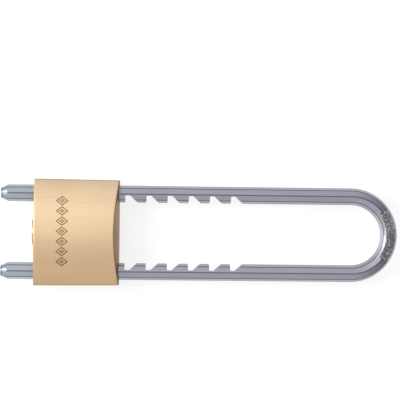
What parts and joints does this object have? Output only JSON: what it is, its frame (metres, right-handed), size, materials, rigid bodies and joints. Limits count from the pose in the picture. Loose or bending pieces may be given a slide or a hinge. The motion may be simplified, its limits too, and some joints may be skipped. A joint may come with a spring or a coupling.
{
  "type": "padlock",
  "caption": "Solid brass padlock with a long adjustable steel shackle whose notched legs run right through the body, drawn open inside, lying on its back.",
  "frame": {"origin": "middle of the body's back, on the flat it rests on", "axes": "+X along the shackle's legs from the keyway end towards the bow, +Y across the body, +Z out of the body's front face"},
  "size_m": [0.1882, 0.0502, 0.0203],
  "materials": {
    "body_brass": "satin, finely brushed along the legs",
    "plug_brass": "satin turned",
    "pin_brass": "turned",
    "shackle_steel": "zinc-plated, satin",
    "hard_steel": "hardened, ground",
    "spring_steel": "bright wire"
  },
  "bodies": {
    "lock_body": {"body": "body_brass", "side_plug_upper": "body_brass", "side_plug_lower": "body_brass", "spring_cover": "plug_brass", "plug_retainer": "hard_steel", "chamber_plug_1": "body_brass", "chamber_plug_2": "body_brass", "chamber_plug_3": "body_brass", "chamber_plug_4": "body_brass", "pin_spring_1": "spring_steel", "pin_spring_2": "spring_steel", "pin_spring_3": "spring_steel", "pin_spring_4": "spring_steel"},
    "shackle": {"shackle": "shackle_steel"},
    "plug": {"plug": "plug_brass", "cam": "hard_steel", "cam_screw": "hard_steel"},
    "bolt_upper": {"bolt_upper": "hard_steel", "bolt_spring_upper": "spring_steel"},
    "bolt_lower": {"bolt_lower": "hard_steel", "bolt_spring_lower": "spring_steel"},
    "key_pin_1": {"key_pin_1": "pin_brass"},
    "driver_pin_1": {"driver_pin_1": "pin_brass"},
    "key_pin_2": {"key_pin_2": "pin_brass"},
    "driver_pin_2": {"driver_pin_2": "pin_brass"},
    "key_pin_3": {"key_pin_3": "pin_brass"},
    "driver_pin_3": {"driver_pin_3": "pin_brass"},
    "key_pin_4": {"key_pin_4": "pin_brass"},
    "driver_pin_4": {"driver_pin_4": "pin_brass"}
  },
  "joints": [
    {"name": "shackle_slide", "type": "slide", "parent": "lock_body", "child": "shackle", "axis": [1, 0, 0], "range_m": [-0.07, 0.075]},
    {"name": "plug_turn", "type": "hinge", "parent": "lock_body", "child": "plug", "pos_m": [-0.0208, 0, 0.01017], "axis": [1, 0, 0], "range_deg": [0, 90]},
    {"name": "bolt_upper_slide", "type": "slide", "parent": "lock_body", "child": "bolt_upper", "axis": [0, 1, 0], "range_m": [0, 0.0038], "deforming": ["bolt_spring_upper"]},
    {"name": "bolt_lower_slide", "type": "slide", "parent": "lock_body", "child": "bolt_lower", "axis": [0, -1, 0], "range_m": [0, 0.0038], "deforming": ["bolt_spring_lower"]},
    {"name": "key_pin_1_slide", "type": "slide", "parent": "plug", "child": "key_pin_1", "axis": [0, 0, 1], "range_m": [0, 0.0036]},
    {"name": "driver_pin_1_slide", "type": "slide", "parent": "lock_body", "child": "driver_pin_1", "axis": [0, 1, 0], "range_m": [0, 0.0015], "stiffness_N_per_m": 60, "springref_m": -0.002, "deforming": ["pin_spring_1"]},
    {"name": "key_pin_2_slide", "type": "slide", "parent": "plug", "child": "key_pin_2", "axis": [0, 0, 1], "range_m": [0, 0.0028]},
    {"name": "driver_pin_2_slide", "type": "slide", "parent": "lock_body", "child": "driver_pin_2", "axis": [0, 1, 0], "range_m": [0, 0.0015], "stiffness_N_per_m": 60, "springref_m": -0.002, "deforming": ["pin_spring_2"]},
    {"name": "key_pin_3_slide", "type": "slide", "parent": "plug", "child": "key_pin_3", "axis": [0, 0, 1], "range_m": [0, 0.0032]},
    {"name": "driver_pin_3_slide", "type": "slide", "parent": "lock_body", "child": "driver_pin_3", "axis": [0, 1, 0], "range_m": [0, 0.0015], "stiffness_N_per_m": 60, "springref_m": -0.002, "deforming": ["pin_spring_3"]},
    {"name": "key_pin_4_slide", "type": "slide", "parent": "plug", "child": "key_pin_4", "axis": [0, 0, 1], "range_m": [0, 0.0024]},
    {"name": "driver_pin_4_slide", "type": "slide", "parent": "lock_body", "child": "driver_pin_4", "axis": [0, 1, 0], "range_m": [0, 0.0015], "stiffness_N_per_m": 60, "springref_m": -0.002, "deforming": ["pin_spring_4"]}
  ],
  "couplings": [
    {"joint": "plug_turn", "follows": "bolt_upper_slide", "rad_per_m": 413.36},
    {"joint": "bolt_lower_slide", "follows": "bolt_upper_slide", "ratio": 1}
  ]
}
